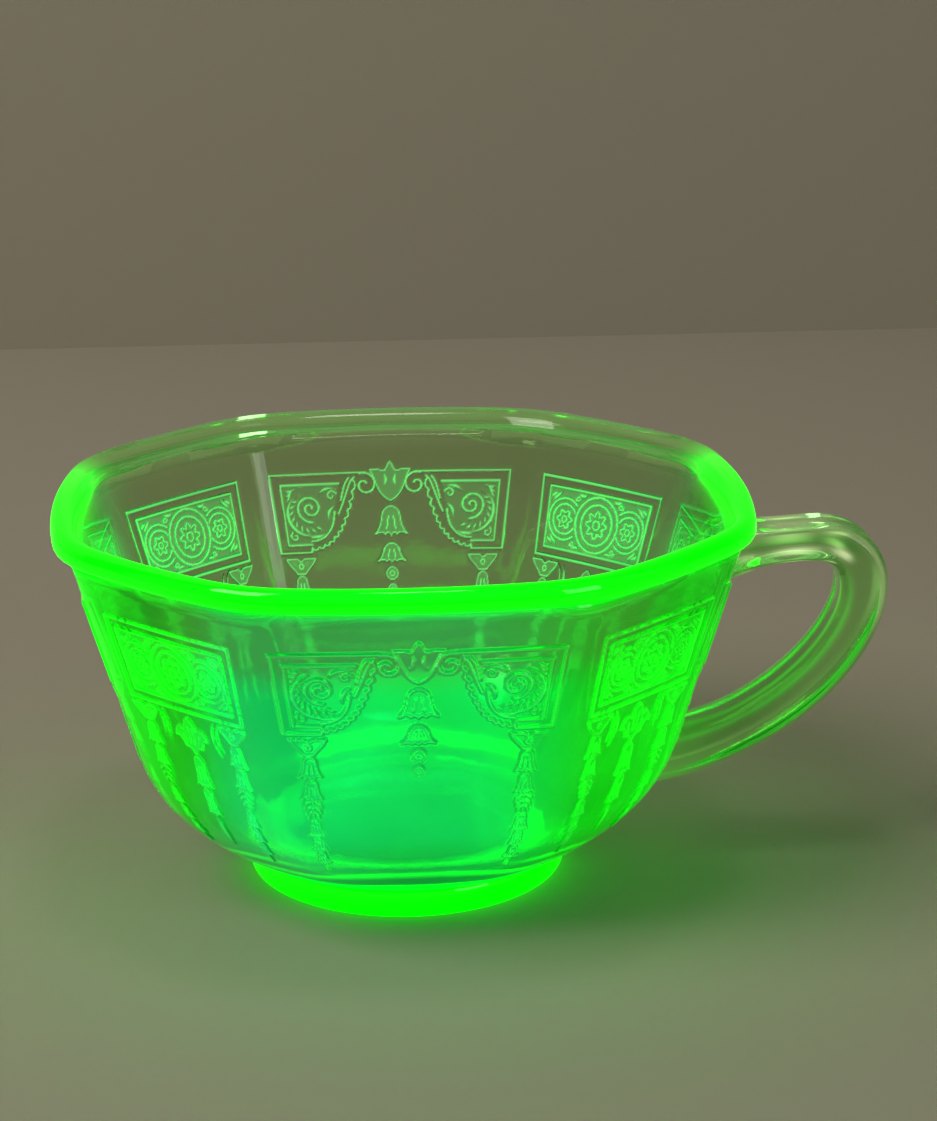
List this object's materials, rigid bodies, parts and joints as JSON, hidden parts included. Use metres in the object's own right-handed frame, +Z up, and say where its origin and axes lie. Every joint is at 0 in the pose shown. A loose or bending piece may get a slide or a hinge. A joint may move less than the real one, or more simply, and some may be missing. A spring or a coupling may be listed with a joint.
{
  "type": "teacup",
  "caption": "Pressed uranium-glass teacup: flaring octagonal bowl with a thick rim bead, round foot ring and a band-like loop handle.",
  "frame": {"origin": "centre of the whole cup's bounding box, on the surface that the foot ring stands on", "axes": "+X from the bowl towards the handle, +Y along the width of the bowl, +Z up"},
  "size_m": [0.1148, 0.095, 0.0542],
  "materials": {
    "uranium_glass": "gloss"
  },
  "bodies": {
    "root": {"bowl": "uranium_glass", "foot_ring": "uranium_glass", "handle": "uranium_glass"}
  },
  "joints": []
}
